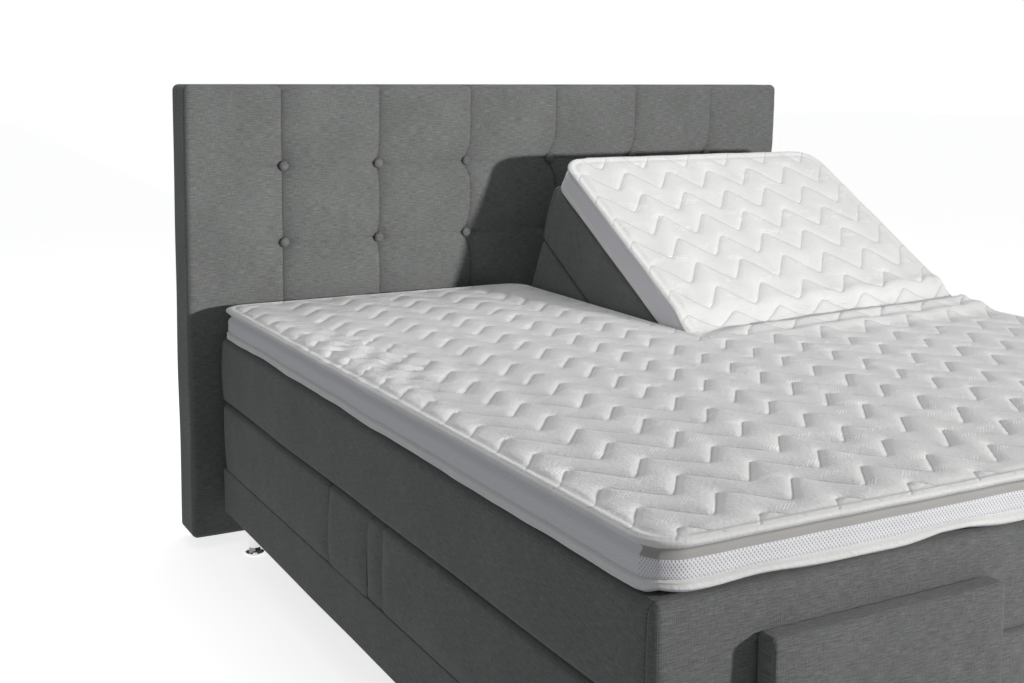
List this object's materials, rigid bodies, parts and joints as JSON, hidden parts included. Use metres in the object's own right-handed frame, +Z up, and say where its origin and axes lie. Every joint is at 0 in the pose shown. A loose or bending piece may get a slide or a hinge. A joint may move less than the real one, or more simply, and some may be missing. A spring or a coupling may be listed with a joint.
{
  "type": "adjustable boxspring bed",
  "caption": "Adjustable split boxspring bed with tufted headboard, padded tilting back, thigh and calf sections, mattresses, quilted topper, foot panels and chrome legs.",
  "frame": {"origin": "on the floor, in the middle of the bed's outline, headboard and foot panels included", "axes": "+X to the right as seen from the foot end, +Y to the headboard, +Z up"},
  "size_m": [1.954, 2.215, 1.246],
  "materials": {
    "headboard_fabric": "woven",
    "button_fabric": "woven",
    "rail_fabric": "woven",
    "box_fabric": "woven",
    "mattress_fabric": "woven",
    "panel_fabric": "woven",
    "backing_cloth": "felted",
    "topper_ticking": "quilted knit",
    "core_wood": "raw",
    "painted_steel": "satin",
    "chrome": "polished",
    "rod_steel": "satin",
    "motor_plastic": "matte",
    "black_plastic": "matte"
  },
  "bodies": {
    "root": {"headboard_core": "core_wood", "headboard_pad": "headboard_fabric", "headboard_buttons": "button_fabric", "headboard_back_cloth": "backing_cloth", "headboard_brackets": "painted_steel", "frame_connectors": "painted_steel", "control_box": "black_plastic", "side_rails_left": "rail_fabric", "cross_rails_left": "rail_fabric", "leg_left_1": "chrome", "leg_left_2": "chrome", "leg_left_3": "chrome", "leg_left_4": "chrome", "seat_box_left": "box_fabric", "fixed_hinges_left": "painted_steel", "back_motor_left": "motor_plastic", "leg_motor_left": "motor_plastic", "seat_mattress_left": "mattress_fabric", "side_rails_right": "rail_fabric", "cross_rails_right": "rail_fabric", "leg_right_1": "chrome", "leg_right_2": "chrome", "leg_right_3": "chrome", "leg_right_4": "chrome", "seat_box_right": "box_fabric", "fixed_hinges_right": "painted_steel", "back_motor_right": "motor_plastic", "leg_motor_right": "motor_plastic", "seat_mattress_right": "mattress_fabric", "seat_topper": "topper_ticking"},
    "back_left": {"back_box_left": "box_fabric", "back_lever_left": "painted_steel", "back_mattress_left": "mattress_fabric", "back_topper_left": "topper_ticking"},
    "thigh_left": {"thigh_box_left": "box_fabric", "thigh_lever_left": "painted_steel", "thigh_mattress_left": "mattress_fabric", "thigh_topper": "topper_ticking"},
    "calf_left": {"calf_box_left": "box_fabric", "calf_hinges_left": "painted_steel", "calf_mattress_left": "mattress_fabric", "foot_panel_left": "panel_fabric", "panel_bracket_left": "painted_steel", "calf_topper": "topper_ticking"},
    "back_rod_left": {"back_rod_left": "rod_steel"},
    "leg_rod_left": {"leg_rod_left": "rod_steel"},
    "back_right": {"back_box_right": "box_fabric", "back_lever_right": "painted_steel", "back_mattress_right": "mattress_fabric", "back_topper_right": "topper_ticking"},
    "thigh_right": {"thigh_box_right": "box_fabric", "thigh_lever_right": "painted_steel", "thigh_mattress_right": "mattress_fabric"},
    "calf_right": {"calf_box_right": "box_fabric", "calf_hinges_right": "painted_steel", "calf_mattress_right": "mattress_fabric", "foot_panel_right": "panel_fabric", "panel_bracket_right": "painted_steel"},
    "back_rod_right": {"back_rod_right": "rod_steel"},
    "leg_rod_right": {"leg_rod_right": "rod_steel"}
  },
  "joints": [
    {"name": "back_left_tilt", "type": "hinge", "parent": "root", "child": "back_left", "pos_m": [-0.4525, 0.1525, 0.4], "axis": [1, 0, 0], "range_deg": [0, 45]},
    {"name": "thigh_left_tilt", "type": "hinge", "parent": "root", "child": "thigh_left", "pos_m": [-0.4525, -0.0985, 0.4], "axis": [-1, 0, 0], "range_deg": [0, 25]},
    {"name": "calf_left_fold", "type": "hinge", "parent": "thigh_left", "child": "calf_left", "pos_m": [-0.4525, -0.4625, 0.4], "axis": [1, 0, 0], "range_deg": [0, 40]},
    {"name": "back_left_rod_slide", "type": "slide", "parent": "root", "child": "back_rod_left", "axis": [0, 1, 0], "range_m": [0, 0.09114]},
    {"name": "leg_left_rod_slide", "type": "slide", "parent": "root", "child": "leg_rod_left", "axis": [0, -1, 0], "range_m": [0, 0.04878]},
    {"name": "back_right_tilt", "type": "hinge", "parent": "root", "child": "back_right", "pos_m": [0.4525, 0.1525, 0.4], "axis": [1, 0, 0], "range_deg": [-31, 14]},
    {"name": "thigh_right_tilt", "type": "hinge", "parent": "root", "child": "thigh_right", "pos_m": [0.4525, -0.0985, 0.4], "axis": [-1, 0, 0], "range_deg": [0, 25]},
    {"name": "calf_right_fold", "type": "hinge", "parent": "thigh_right", "child": "calf_right", "pos_m": [0.4525, -0.4625, 0.4], "axis": [1, 0, 0], "range_deg": [0, 40]},
    {"name": "back_right_rod_slide", "type": "slide", "parent": "root", "child": "back_rod_right", "axis": [0, 1, 0], "range_m": [-0.06279, 0.02836]},
    {"name": "leg_right_rod_slide", "type": "slide", "parent": "root", "child": "leg_rod_right", "axis": [0, -1, 0], "range_m": [0, 0.04878]}
  ],
  "couplings": [
    {"joint": "back_left_rod_slide", "follows": "back_left_tilt", "m_per_rad": 0.11603},
    {"joint": "leg_left_rod_slide", "follows": "thigh_left_tilt", "m_per_rad": 0.11178},
    {"joint": "calf_left_fold", "follows": "thigh_left_tilt", "ratio": 1.6},
    {"joint": "back_right_rod_slide", "follows": "back_right_tilt", "m_per_rad": 0.11603},
    {"joint": "leg_right_rod_slide", "follows": "thigh_left_tilt", "m_per_rad": 0.11178},
    {"joint": "calf_right_fold", "follows": "thigh_left_tilt", "ratio": 1.6},
    {"joint": "thigh_right_tilt", "follows": "thigh_left_tilt", "ratio": 1}
  ]
}
